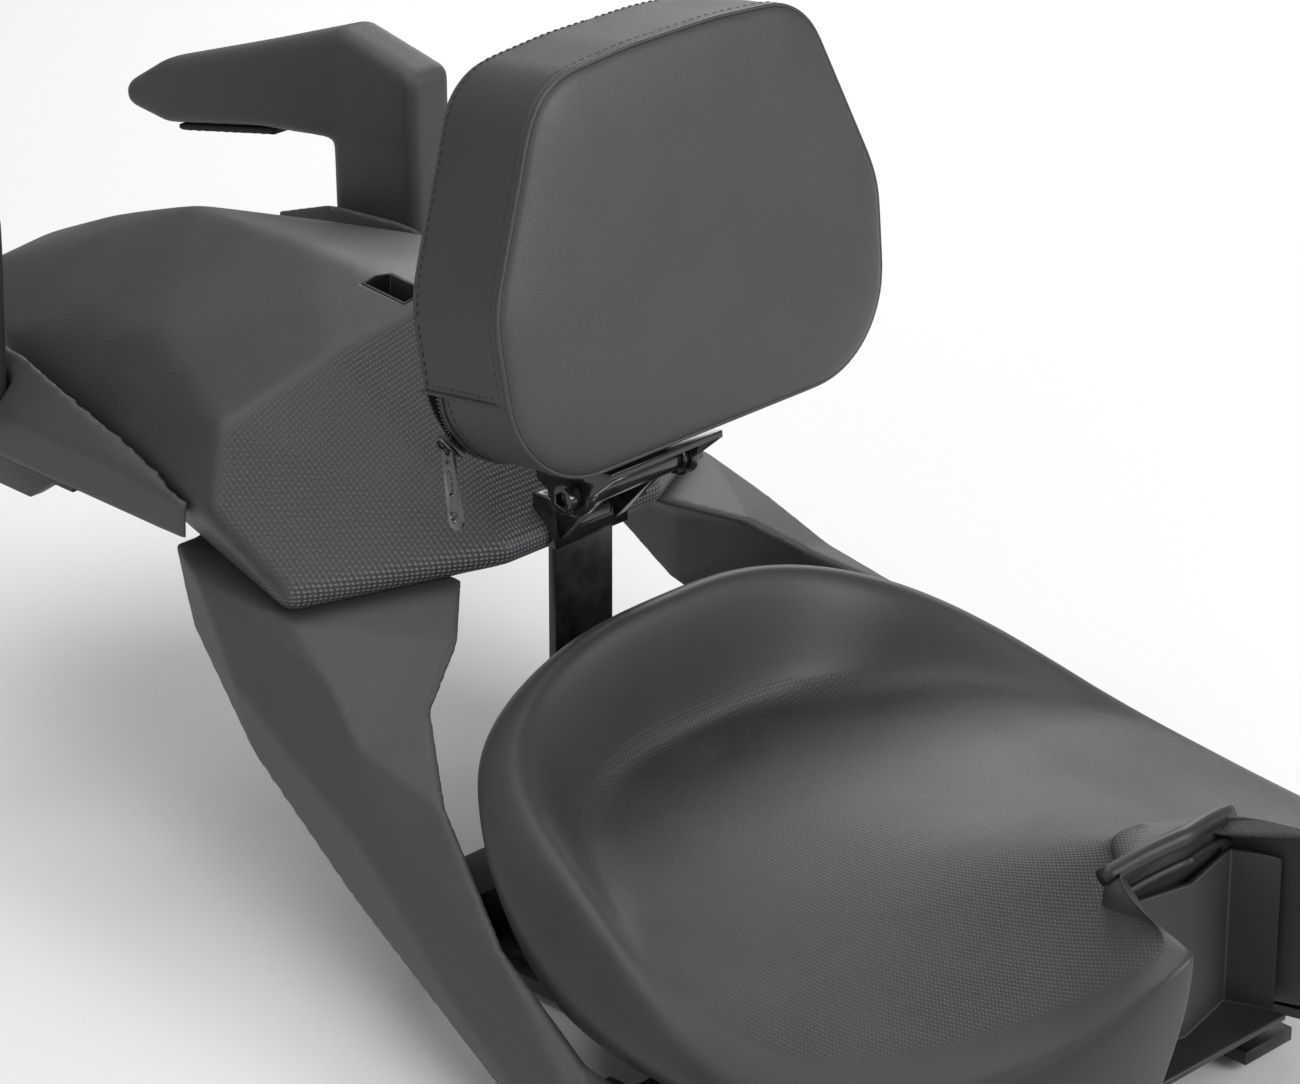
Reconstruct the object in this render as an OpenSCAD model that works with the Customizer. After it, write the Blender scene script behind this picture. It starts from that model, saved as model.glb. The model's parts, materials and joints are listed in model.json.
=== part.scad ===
// Two-up motorcycle seat with a folding, height-adjustable rider backrest.
// +Z is up, the rider faces -Y and +X is the rider's left.
// The origin is the centre of the four chassis bolts, on the underside of the base rails.

/* [Chassis mount] */
// Bolt spacing across the seat
bolt_gap_x = 220; // [200:1:250]
// Bolt spacing along the seat
bolt_gap_y = 260; // [220:1:280]
// Clearance hole for the chassis bolts
chassis_hole_d = 9; // [6.6:0.1:11]
// Width of each base rail
rail_w = 40; // [30:1:50]
// Thickness of each base rail
rail_t = 8; // [6:0.5:10]

/* [Rider seat] */
// Greatest width of the rider seat
rider_w = 480; // [400:1:576]
// Depth of the rider seat from the back of the bolster to the nose
rider_l = 486; // [420:1:560]
// Height of the rider seat from its pan to the top of the bolster
rider_h = 140; // [120:1:170]
// Clear height between the base rails and the rider pan
rider_lift = 48; // [42:1:60]

/* [Passenger seat] */
// Width of the passenger seat across its front corners
pass_w = 356; // [300:1:400]
// Length of the passenger seat
pass_l = 490; // [420:1:588]
// Height of the passenger seat top over the tail bridge
pass_h = 98; // [85:1:110]

/* [Backrest] */
// Greatest width of the backrest pad
pad_w = 298; // [240:1:360]
// Height of the backrest pad
pad_h = 227; // [190:1:270]
// Thickness of the pad at its front seam
pad_t = 71; // [58:1:86]
// How far the front panel is crowned beyond its seam
pad_crown = 9; // [4:1:14]
// Recline of the pad from upright
recline = 8; // [0:1:12]
// Height of the hinge axis over the chassis mount
hinge_z = 262; // [250:1:300]

/* [Upright] */
// Width of the flat steel upright
bar_w = 46; // [38:1:56]
// Thickness of the upright
bar_t = 6; // [5:0.5:8]
// Height of the slide channel
channel_h = 30; // [24:1:40]
// Free play between the upright and its liner
bar_play = 0.15; // [0.1:0.05:0.3]

/* [Hinge] */
// Diameter of the hinge bolt
hinge_bolt_d = 10; // [8:0.5:12]
// Length of the hinge tube
tube_l = 68; // [56:1:82]
// Diameter of the hinge tube
tube_d = 18; // [16:1:22]

/* [Hidden] */
$fn = 48;

fit = 0.05;          // running clearance on radius
gap = 0.3;           // space between pieces that only lie together
vinyl_t = 4;         // cover and backing together
tapped = 0.02;       // gap left round a screw in its own thread

// ---- shared places
hinge_y = 190;
bar_y = hinge_y + 35.6;                  // front face of the upright
rear_beam_d = 40;                        // depth of the rear crossmember
rear_beam_h = 32;
rail_front = -200;
rail_x = bolt_gap_x / 2;
mid_beam = [50, 40];                     // depth and height of the middle crossmember
mid_beam_y = -60;
plate_t = 8;                             // end plates of the middle crossmember
foot_x = rider_w / 2 - 10;               // inner face of the leg feet
foot_bolt_gap = 50;
foot_bolt_d = 12;
foot_t = 32;
pan_z = rail_t + rider_lift;             // underside of the rider pan
pan_t = 6;
spacer_y = [-165, 40];
bridge_z = 222;                          // underside of the tail bridge
bridge_t = 8;
bridge_bolt = [120, 350, 380];           // x and the two y places of its bolts
pass_front = 222;
pass_pan_z = bridge_z + bridge_t + 6;    // underside of the passenger pan
pass_pan_t = 5;
post_y = [540, 620];                     // front and back of the grab handle posts
post_x = 180;
post_z = 250;                            // foot of the posts on the rail pads
rail_low = 219;                          // underside of the tail rails
crossbar_y = 612;
crossbar_z = 220;
lug_bolt = [112, 419];                   // bolt through the bridge into each rail's lug

// ---- small helpers
module both_sides() { children(); mirror([1, 0, 0]) children(); }
module along_x(d, l) { rotate([0, 90, 0]) cylinder(d = d, h = l); }
module along_y(d, l) { rotate([-90, 0, 0]) cylinder(d = d, h = l); }
module ball(p, r) { translate(p) sphere(r = r, $fn = 20); }
module box_at(lo, hi) { translate(lo) cube(hi - lo); }

// screw along +Z with its seat at z = 0, the shank below and a socket in the head
module cap_screw(d, l, head_h) {
    difference() {
        union() {
            translate([0, 0, -l]) cylinder(d = d, h = l + 0.5);
            cylinder(d = d * 1.6, h = head_h);
        }
        translate([0, 0, head_h * 0.4]) cylinder(d = d * 0.9, h = head_h, $fn = 6);
    }
}

// ---- base frame
module base_rail() {
    difference() {
        box_at([rail_x - rail_w / 2, rail_front, 0], [rail_x + rail_w / 2, bar_y, rail_t]);
        for (y = [-1, 1] * bolt_gap_y / 2)
            translate([rail_x, y, -1]) cylinder(d = chassis_hole_d, h = rail_t + 2);
        for (y = spacer_y) translate([rail_x, y, -1]) cylinder(d = 8 + 2 * tapped, h = rail_t + 2);
    }
}
module base_rail_left() { color("dimgray") base_rail(); }
module base_rail_right() { color("dimgray") mirror([1, 0, 0]) base_rail(); }

module rear_crossmember() {
    half = rail_x + rail_w / 2;
    color("dimgray") difference() {
        box_at([-half, bar_y - rear_beam_d, rail_t], [half, bar_y, rail_t + rear_beam_h]);
        box_at([-half - 1, bar_y - rear_beam_d + 3, rail_t + 3], [half + 1, bar_y - 3, rail_t + rear_beam_h - 3]);
        for (z = bar_bolt_z) translate([0, bar_y - rear_beam_d - 1, z]) along_y(10 + 2 * tapped, rear_beam_d + 2);
    }
}
bar_bolt_z = [rail_t + 10, rail_t + rear_beam_h - 4 - 6];

module mid_crossmember() {
    top = rail_t + mid_beam[1];
    lo = mid_beam_y - mid_beam[0] / 2;
    hi = mid_beam_y + mid_beam[0] / 2;
    color("dimgray") {
        difference() {
            box_at([-foot_x + plate_t, lo, rail_t], [foot_x - plate_t, hi, top]);
            box_at([-foot_x + plate_t - 1, lo + 3, rail_t + 3], [foot_x - plate_t + 1, hi - 3, top - 3]);
        }
        both_sides() difference() {
            box_at([foot_x - plate_t, lo - 16, rail_t], [foot_x, hi + 16, top]);
            foot_bolts() translate([0, 0, -60]) cylinder(d = foot_bolt_d + 2 * tapped, h = 80);
        }
    }
}
// places the leg bolts: +Z of each child points outwards along +X
module foot_bolts() {
    for (y = [-1, 1] * 33) translate([foot_x + foot_t, mid_beam_y + y, rail_t + mid_beam[1] / 2])
        rotate([0, 90, 0]) children();
}

// ---- cast legs: each station is [front edge, main ridge, inner ridge, rear edge, inner rear, inner front]
leg_stations = [
    [[80, 246, 203], [167, 290, 189], [174, 360, 194], [160, 396, 202], [110, 396, 202], [84, 300, 203]],
    [[118, 210, 188], [178, 250, 170], [186, 318, 150], [164, 378, 160], [134, 360, 165], [112, 260, 180]],
    [[152, 196, 163], [190, 212, 147], [199, 252, 127], [182, 306, 108], [150, 300, 112], [146, 232, 150]],
    [[191, 143, 136], [211, 150, 115], [216, 182, 110], [202, 206, 66], [172, 204, 70], [180, 166, 118]],
    [[225, 62, 91], [241, 46, 67], [241, 80, 60], [227, 104, 40], [204, 104, 42], [214, 78, 76]],
    [[240, -14, 58], [256, -26, 44], [256, 12, 34], [244, 24, 16], [232, 24, 18], [232, -8, 52]]];
// the legs keep beside the rider seat when its width changes
function leg_x(x) = x + (rider_w - 480) / 2 * min(1, max(0, (x - 100) / 100));
module leg_ring(s, c = 3) { for (p = s) translate([leg_x(p[0]), p[1], p[2]]) cube(c, center = true); }
// room the passenger seat leaves for the head of the leg
module leg_room() {
    hull() { leg_ring(leg_stations[0], 5); leg_ring(leg_stations[1], 5); }
    box_at([96, 332, 100], [144, 400, bridge_z + bridge_t + 1]);
    box_at([90, 400, 100], [182, 438, rail_low + 5]);
}
module leg() {
    foot = [foot_x, mid_beam_y, rail_t];
    difference() {
        union() {
            for (i = [0 : len(leg_stations) - 2]) hull() {
                leg_ring(leg_stations[i]);
                leg_ring(leg_stations[i + 1]);
            }
            hull() {
                leg_ring(leg_stations[len(leg_stations) - 1]);
                translate(foot + [0, 14, 0]) cube([foot_t - 3, 30, mid_beam[1]]);
            }
            translate(foot + [0, -mid_beam[0] / 2 - 16, 0]) cube([foot_t, mid_beam[0] + 32, mid_beam[1]]);
            box_at([98, 334, 195], [142, 396, bridge_z]);
        }
        foot_bolts() translate([0, 0, -60]) cylinder(d = foot_bolt_d + 1, h = 80);
        bridge_places() translate([0, 0, -bridge_t - 17]) cylinder(d = 8 + 2 * tapped, h = 40);
    }
}
module bridge_places() {
    for (y = [bridge_bolt[1], bridge_bolt[2]]) translate([bridge_bolt[0], y, bridge_z + bridge_t]) children();
    translate([lug_bolt[0], lug_bolt[1], bridge_z + bridge_t]) children();
}
module leg_left() { color("dimgray") leg(); }
module leg_right() { color("dimgray") mirror([1, 0, 0]) leg(); }
module leg_bolts() { color("gray") both_sides() foot_bolts() cap_screw(foot_bolt_d, foot_t + plate_t + 4, 9); }

// ---- tail
module tail_bridge() {
    color("dimgray") translate([0, 0, bridge_z]) difference() {
        linear_extrude(bridge_t) polygon(bridge_outline());
        both_sides() translate([0, 0, -bridge_z]) bridge_places()
            translate([0, 0, -bridge_t - 1]) cylinder(d = 9, h = bridge_t + 2);
        pass_screw_places() translate([0, 0, -pass_pan_z - 1]) cylinder(d = 7, h = bridge_t + 2);
    }
}
function bridge_outline() = [[-134, 338], [134, 338], [141, 360], [141, 392], [128, 436], [96, crossbar_y - 14],
    [-96, crossbar_y - 14], [-128, 436], [-141, 392], [-141, 360]];
module bridge_bolts() { color("gray") both_sides() bridge_places() cap_screw(8, 24, 5.5); }

// side rail: upright outer face with a ridge on top, from which the top slopes up to the seat
module rail_slice(y, inner, top, outer, ridge) {
    for (p = [[inner, rail_low + 1], [outer, rail_low + 1], [outer, ridge - 4], [outer - 3, ridge], [inner, top]])
        translate([p[0], y, p[1]]) cube(2, center = true);
}
module tail_rail() {
    difference() {
        union() {
            hull() { rail_slice(370, 177.2, 242, 177.8, 242); rail_slice(384, 176.6, 244, 177.8, 244); }
            hull() { rail_slice(384, 176.6, 244, 177.8, 244); rail_slice(398, 170.5, 248, 177.6, 246); }
            hull() { rail_slice(398, 170.5, 248, 177.6, 246); rail_slice(431, 165.5, 255, 177.5, 249); }
            hull() { rail_slice(431, 165.5, 255, 177.5, 249); rail_slice(501, 158, 267, 177.5, 251); }
            hull() { rail_slice(501, 158, 267, 177.5, 251); rail_slice(546, 151, 274, 177.5, 252); }
            hull() { rail_slice(546, 151, 274, 177.5, 252); rail_slice(600, 144, 272, 177, 251); }
            hull() { rail_slice(600, 144, 272, 177, 251); rail_slice(646, 141, 256, 168, 247); }
            hull() {
                box_at([162, 537, post_z - 8], [199, 623, post_z]);
                box_at([162, 548, post_z - 24], [177, 610, post_z - 8]);
            }
            translate([136, crossbar_y, crossbar_z]) along_x(18, 52);
            box_at([100, 402, rail_low - 5], [168, 436, bridge_z]);
        }
        box_at([post_x - 19, post_y[0] - 0.2, post_z], [post_x + 30, post_y[1] + 0.2, post_z + 40]);
        rail_screw_places() translate([0, 0, -60]) cylinder(d = 8 + 2 * tapped, h = 80);
        post_screw_places() translate([0, 0, -20]) cylinder(d = 8 + 2 * tapped, h = 60);
        bridge_places() translate([0, 0, -20]) cylinder(d = 8 + 2 * tapped, h = 30);
    }
}
// crossbar screws run in from the outside, post screws come up from below
module rail_screw_places() { translate([188, crossbar_y, crossbar_z]) rotate([0, 90, 0]) children(); }
module post_screw_places() {
    for (y = [post_y[0] + 22, post_y[1] - 28]) translate([post_x - 6, y, rail_low]) children();
}
module tail_rail_left() { color("dimgray") tail_rail(); }
module tail_rail_right() { color("dimgray") mirror([1, 0, 0]) tail_rail(); }
module tail_crossbar() {
    color("dimgray") difference() {
        union() {
            translate([-136, crossbar_y, crossbar_z]) along_x(26, 272);
            both_sides() box_at([60, crossbar_y - 40, bridge_z - 4], [92, crossbar_y - 8, bridge_z]);
        }
        both_sides() translate([120, crossbar_y, crossbar_z]) along_x(8 + 2 * tapped, 20);
    }
}
module tail_brackets() {
    color("black") both_sides() {
        box_at([144, 484, rail_low - 10], [166, 598, rail_low]);
        hull() {
            box_at([146, 506, rail_low - 11], [164, 596, rail_low - 9]);
            box_at([150, 532, rail_low - 30], [160, 584, rail_low - 28]);
        }
    }
}

// ---- grab handles: a post on each rail with a grip that sweeps back and inwards
module grip_ring(x, y, low, high, half) {
    for (sx = [-1, 1], z = [low + 9, high - 9]) ball([x + sx * (half - 9), y, z], 9);
}
module grab_handle() {
    difference() {
        union() {
            hull() for (y = [post_y[0] + 9, post_y[1] - 9], x = [-9, 9]) {
                translate([post_x + x, y, post_z]) cylinder(r = 9, h = 10, $fn = 24);
                ball([post_x + x - 2, y, 345], 9);
            }
            hull() {
                grip_ring(post_x - 2, post_y[0] + 9, 316, 371, 18);
                grip_ring(post_x - 4, post_y[1] - 12, 309, 384, 18);
            }
            hull() {
                grip_ring(post_x - 4, post_y[1] - 12, 309, 384, 18);
                grip_ring(163, 677, 304, 359, 17);
            }
            hull() {
                grip_ring(163, 677, 304, 359, 17);
                grip_ring(146, 748, 292, 335, 15);
            }
            hull() {
                grip_ring(146, 748, 292, 335, 15);
                grip_ring(141, 774, 297, 317, 14);
            }
        }
        post_screw_places() cylinder(d = 8 + 2 * tapped, h = 62);
    }
}
module grab_handle_left() { color("dimgray") grab_handle(); }
module grab_handle_right() { color("dimgray") mirror([1, 0, 0]) grab_handle(); }
module grip_insert() {
    hull() {
        translate([165, 668, 302]) cube([20, 4, 4], center = true);
        translate([148, 740, 290.2]) cube([16, 4, 4], center = true);
    }
}
module grip_insert_left() { color("black") grip_insert(); }
module grip_insert_right() { color("black") mirror([1, 0, 0]) grip_insert(); }
module handle_bolts() {
    color("gray") both_sides() {
        post_screw_places() mirror([0, 0, 1]) cap_screw(8, 60, 5);
        rail_screw_places() cap_screw(8, 60, 5);
    }
}

// ---- rider seat: closed loops from the pan up over the bolster and down into the bucket.
// Each row is one place around the left half, from the back centre to the notch in the nose.
// A row holds [x, y, z] for the hem, the shoulder, the crest and the crease.
seat_rows = [
    [[0, 182, 150], [0, 188, 182], [0, 154, 202], [0, 140, 121]],
    [[58, 181, 150], [60, 187, 182], [50, 154, 202], [40, 139, 121]],
    [[118, 168, 152], [122, 172, 172], [105, 149, 188], [84, 128, 117]],
    [[162, 146, 152], [164, 150, 160], [150, 123, 169], [121, 104, 115]],
    [[187, 118, 136], [189, 117, 144], [173, 91, 155], [147, 72, 117]],
    [[203, 92, 116], [206, 86, 126], [186, 56, 143], [162, 43, 117]],
    [[214, 60, 92], [219, 50, 104], [197, 22, 129], [176, 14, 115]],
    [[222, 20, 70], [228, 10, 86], [208, -12, 114], [189, -18, 111]],
    [[227, -30, 66], [236, -40, 78], [222, -56, 98], [202, -60, 104]],
    [[229, -80, 66], [240, -92, 76], [232, -100, 86], [207, -104, 99]],
    [[224, -140, 66], [234, -150, 76], [226, -152, 88], [196, -150, 101]],
    [[192, -208, 66], [200, -216, 84], [192, -210, 104], [160, -198, 116]],
    [[140, -258, 68], [150, -268, 106], [140, -262, 130], [118, -244, 140]],
    [[98, -272, 72], [104, -292, 140], [100, -290, 164], [92, -276, 167]],
    [[72, -272, 72], [74, -294, 140], [72, -292, 174], [72, -278, 177]],
    [[53, -206, 80], [52, -207, 130], [51, -209, 176], [57, -204, 180]],
    [[0, -217, 80], [0, -218, 140], [0, -221, 188], [0, -211, 189]]];
// the middle line of the bucket: where each row ends
seat_spine = [[106, 116], [96, 116], [80, 117], [62, 118], [44, 119], [26, 121], [8, 123], [-12, 125], [-34, 128],
    [-58, 133], [-82, 139], [-106, 147], [-128, 155], [-148, 163], [-164, 170], [-180, 177], [-196, 184]];

// Scales the hand-set rows to the seat's named sizes. t shrinks the form for what lies under the cover:
// pull says how much of t goes sideways, and facing is -1 where a wall faces the notch.
function seat_point(p, t, pull = 1, facing = 1) = let (g = t * pull)
    [p[0] * rider_w / 480 - (facing > 0 ? p[0] / 240 : -0.8) * g,
     188 - g + (p[1] - 188) * (rider_l - 2 * g) / 486, pan_z + pan_t + (p[2] - 62) * rider_h / 140];
function row_facing(i) = i == 14 || i == 15 ? -1 : 1;
function row_pull(i, k) = k < 2 ? 1 : k == 2 ? (i > 12 ? 0.6 : 0.1) : (i > 11 ? 0 : -0.8);
function half_loop(k, t, drop) = [for (i = [0 : len(seat_rows) - 1])
    seat_point(seat_rows[i][k], t, row_pull(i, k), row_facing(i)) - [0, 0, drop]];
function pan_loop(t, z) = [for (i = [0 : len(seat_rows) - 1]) let (p = seat_point(seat_rows[i][0], t, 1, row_facing(i)))
    [p[0] * (i > 13 ? 1 : 0.86), -50 + (p[1] + 50) * (i > 13 ? 0.97 : 0.86), z]];
function middle_loop(t, drop) = [for (i = [0 : len(seat_rows) - 1])
    let (a = seat_point(seat_rows[i][3], t, 0), b = seat_point([0, seat_spine[i][0], seat_spine[i][1]], t, 0))
    (a * 0.5 + b * 0.5) - [0, 0, drop + 1]];
function spine_points(t, drop) = [for (s = seat_spine) seat_point([0, s[0], s[1]], t, 0) - [0, 0, drop]];
function whole_loop(half) = concat(half, [for (i = [len(half) - 2 : -1 : 1]) [-half[i][0], half[i][1], half[i][2]]]);

// faces of a surface that climbs through closed loops of n points to a ridge of m points;
// start is its first point, flip turns it inside out
function skin_faces(count, m, start, flip) =
    let (n = 2 * (m - 1), last = start + (count - 1) * n, ridge = start + count * n,
        quads = concat(
            [for (i = [0 : count - 2], j = [0 : n - 1]) let (a = start + i * n + j, b = start + i * n + (j + 1) % n)
                [a, b, b + n, a + n]],
            [for (j = [0 : n - 1]) let (k = (j + 1) % n)
                [last + j, last + k, ridge + (k < m ? k : n - k), ridge + (j < m ? j : n - j)]]))
    [for (q = quads) each flip ? [[q[0], q[2], q[1]], [q[0], q[3], q[2]]] : [[q[0], q[1], q[2]], [q[0], q[2], q[3]]]];
function join_rings(half_loops, ridge) = concat([for (h = half_loops) each whole_loop(h)], ridge);

// loops of the seat from the hem upwards; t is how far they lie under the outside of the cover
function seat_loops(t) = [half_loop(0, t, 0), half_loop(1, t, t / 2), half_loop(2, t, t), half_loop(3, t, t),
    middle_loop(t, t)];
module seat_form(t) {
    loops = concat([pan_loop(t, pan_z + pan_t)], seat_loops(t));
    n = 2 * (len(seat_rows) - 1);
    polyhedron(join_rings(loops, spine_points(t, t)),
        concat([[for (j = [n - 1 : -1 : 0]) j]], skin_faces(len(loops), len(seat_rows), 0, false)), convexity = 8);
}
// the cover is one closed skin: outside, inside and the hem between them
module rider_cover() {
    outer = join_rings(seat_loops(0), spine_points(0, 0));
    inner = join_rings(seat_loops(vinyl_t), spine_points(vinyl_t, vinyl_t));
    n = 2 * (len(seat_rows) - 1);
    size = len(outer);
    hem = [for (j = [0 : n - 1]) let (k = (j + 1) % n) each [[j, size + j, size + k], [j, size + k, k]]];
    color([0.16, 0.16, 0.17]) polyhedron(concat(outer, inner), concat(hem,
        skin_faces(5, len(seat_rows), 0, false), skin_faces(5, len(seat_rows), size, true)), convexity = 8);
}
module rider_foam() {
    color("khaki") seat_form(vinyl_t + gap);
}
module rider_pan() {
    color("black") difference() {
        translate([0, 0, pan_z]) linear_extrude(pan_t - gap)
            polygon([for (p = whole_loop(pan_loop(vinyl_t + 1, 0))) [p[0], p[1]]]);
        both_sides() for (y = spacer_y) translate([rail_x, y, pan_z - 1]) cylinder(d = 8 + 2 * tapped, h = pan_t + 2);
    }
}
module rider_spacers() {
    color("black") both_sides() for (y = spacer_y) translate([rail_x, y, rail_t]) difference() {
        cylinder(d = 24, h = rider_lift);
        translate([0, 0, -1]) cylinder(d = 8 + 2 * tapped, h = rider_lift + 2);
    }
}
module rider_bolts() {
    color("gray") both_sides() for (y = spacer_y)
        translate([rail_x, y, 0]) mirror([0, 0, 1]) cap_screw(8, rail_t + rider_lift + pan_t - 0.6, 4);
}
// liner in the nose notch
function notch_at(x, y) = [for (p = [seat_point([x, y, 0], 0)]) each [p[0], p[1]]];
module nose_trim() {
    h = 96 * rider_h / 140;
    color("black") translate([0, 0, pan_z + pan_t]) difference() {
        linear_extrude(h) polygon([notch_at(-49, -213), notch_at(0, -223.5), notch_at(49, -213),
            notch_at(58, -250), notch_at(-58, -250)]);
        translate([0, 0, 4]) linear_extrude(h) polygon([notch_at(-45, -217), notch_at(0, -227.5), notch_at(45, -217),
            notch_at(68, -270), notch_at(-68, -270)]);
    }
}

// ---- passenger seat: corner balls, in [x, y, z] of the outer surface moved in by one radius
pass_r = 10;
function pass_point(p) = [p[0] * pass_w / 356, pass_front + (p[1] - 222) * pass_l / 490, 230 + (p[2] - 230) * pass_h / 98];
pass_corners = [[159, 298, 204], [58, 234, 220], [167, 352, 240], [142, 374, 273], [72, 362, 298], [0, 356, 310],
    [104, 467, 290], [0, 460, 317], [92, 540, 282], [0, 560, 313], [56, 643, 272], [0, 640, 284],
    [112, 598, 256], [62, 690, 256], [0, 702, 256], [118, 580, 246], [150, 400, 246], [58, 690, 246]];
module pass_hull(r) {
    hull() both_sides() for (p = pass_corners) translate(pass_point(p)) sphere(r = r, $fn = 24);
}
// hollow under the seat for the bridge, the leg heads and the upright
module pass_hollow(grow) {
    z = pass_pan_z + pass_pan_t - grow;
    translate([0, 0, 100]) linear_extrude(z - 100) polygon([[-58, 268], [58, 268], [132, 326], [149, 356], [149, 402],
        [104, 600], [60, 690], [-60, 690], [-104, 600], [-149, 402], [-149, 356], [-132, 326]]);
    translate([-bar_w / 2 - 9, 200, 100]) cube([bar_w + 18, 268 - 200 - 18, 150]);
    box_at([bar_w / 2, 200, 100], [bar_w / 2 + 27, 246, 264]);
    both_sides() leg_room();
}
module passenger_cover() {
    color([0.16, 0.16, 0.17]) difference() {
        pass_hull(pass_r);
        difference() {
            pass_hull(pass_r - vinyl_t);
            translate([-200, 200, 100]) cube([400, 600, pass_pan_z + pass_pan_t - 100]);
        }
        pass_hollow(0);
        slot_cut(2);
    }
}
module passenger_foam() {
    color("khaki") difference() {
        pass_hull(pass_r - vinyl_t - gap);
        translate([-200, 200, 100]) cube([400, 600, pass_pan_z + pass_pan_t + gap - 100]);
        slot_cut(2);
    }
}
slot_y = 381;
module slot_cut(grow) {
    translate([-10 - grow, slot_y - 17 - grow, 276]) cube([20 + 2 * grow, 34 + 2 * grow, 80]);
}
module slot_bezel() {
    color("black") intersection() {
        pass_hull(pass_r + 0.5);
        difference() {
            slot_cut(1.7);
            translate([0, 0, 4]) slot_cut(0);
        }
    }
}
module passenger_pan() {
    color("black") difference() {
        translate([0, 0, pass_pan_z]) linear_extrude(pass_pan_t) polygon([[-56, 270], [56, 270], [130, 328], [147, 357],
            [147, 401], [102, 596], [58, 686], [-58, 686], [-102, 596], [-147, 401], [-147, 357], [-130, 328]]);
        pass_screw_places() translate([0, 0, -1]) cylinder(d = 6 + 2 * tapped, h = pass_pan_t + 2);
    }
}
module pass_screw_places() { both_sides() for (y = [360, 560]) translate([80, y, pass_pan_z]) children(); }
module passenger_bumpers() {
    color("black") pass_screw_places() translate([0, 0, bridge_z + bridge_t - pass_pan_z]) difference() {
        cylinder(d = 22, h = pass_pan_z - bridge_z - bridge_t);
        translate([0, 0, -1]) cylinder(d = 6 + 2 * tapped, h = 20);
    }
}
module passenger_screws() {
    below = pass_pan_z - bridge_z;
    color("gray") pass_screw_places() translate([0, 0, -below]) mirror([0, 0, 1]) cap_screw(6, below + pass_pan_t - 0.6, 4);
}

// ---- upright
bar_top = hinge_z - 8;
module upright_bar() {
    color([0.08, 0.08, 0.08]) difference() {
        hull() {
            box_at([-bar_w / 2, bar_y, rail_t + 1], [bar_w / 2, bar_y + bar_t, bar_top - 6]);
            box_at([-bar_w / 2 + 6, bar_y, rail_t + 1], [bar_w / 2 - 6, bar_y + bar_t, bar_top]);
        }
        for (z = bar_bolt_z) translate([0, bar_y - 1, z]) along_y(10 + 2 * tapped, bar_t + 2);
    }
}
module bar_bolts() {
    color("gray") for (z = bar_bolt_z)
        translate([0, bar_y + bar_t, z]) rotate([-90, 0, 0]) cap_screw(10, bar_t + rear_beam_d, 5);
}

// ---- slide channel on the upright
wall = 4;
liner_t = 2;
channel_top = hinge_z - 18;
inner_x = bar_w / 2 + bar_play;
module sleeve(x, front, back, lip, z, h) {
    difference() {
        box_at([-x, front, z], [x, back, z + h]);
        children();
        box_at([-lip, bar_y + bar_t / 2, z - 1], [lip, back + 1, z + h + 1]);
    }
}
module slide_liner() {
    front = bar_y - bar_play;
    back = bar_y + bar_t + bar_play;
    color("black") sleeve(inner_x + liner_t, front - liner_t, back + liner_t, bar_w / 2 - 12, channel_top - channel_h, channel_h)
        box_at([-inner_x, front, 0], [inner_x, back, 400]);
}
module slide_channel() {
    x = inner_x + liner_t + fit;
    front = bar_y - bar_play - liner_t - fit;
    back = bar_y + bar_t + bar_play + liner_t + fit;
    color([0.06, 0.06, 0.06]) difference() {
        union() {
            sleeve(x + wall, front - wall, back + wall, bar_w / 2 - 12, channel_top - channel_h, channel_h)
                box_at([-x, front, 0], [x, back, 400]);
            for (sx = [-1, 1]) translate([sx * 22 - 3, 0, 0]) rotate([90, 0, 90]) linear_extrude(6)
                polygon([[front - wall / 2, channel_top - 27], [front - wall / 2, channel_top - 2],
                    [hinge_y + 3, hinge_z + 4], [hinge_y - 6, hinge_z - 4]]);
            translate([-tube_l / 2, hinge_y, hinge_z]) along_x(tube_d, tube_l);
            translate([x + wall - 1, bar_y + bar_t / 2, clamp_z]) along_x(16, 7);
        }
        box_at([-bar_w / 2 + 8, front - wall - 1, channel_top - channel_h + 9], [bar_w / 2 - 7, front - wall + 0.9, channel_top - 11]);
        translate([-tube_l, hinge_y, hinge_z]) along_x(hinge_bolt_d + 2 * fit, 2 * tube_l);
        translate([x - 1, bar_y + bar_t / 2, clamp_z]) along_x(5 + 2 * fit, 20);
    }
}
clamp_z = channel_top - 15;
module clamp_knob() {
    x = inner_x + liner_t + fit;
    color("black") {
        translate([x + 0.1, bar_y + bar_t / 2, clamp_z]) along_x(5, 18);
        translate([x + wall + 6 + gap, bar_y + bar_t / 2, clamp_z]) difference() {
            along_x(17, 11);
            for (a = [0 : 60 : 300]) rotate([a, 0, 0]) translate([-1, 10, 0]) along_x(6, 16);
        }
    }
}

// ---- backrest, in the pad's own frame: x across, y to the rear, z up the pad, origin on the hinge axis
pad_low = 38;
module pad_frame() { translate([0, hinge_y, hinge_z]) rotate([-recline, 0, 0]) children(); }
module lay_outline(y, t) { translate([0, y + t, 0]) rotate([90, 0, 0]) linear_extrude(t) children(); }
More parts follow.
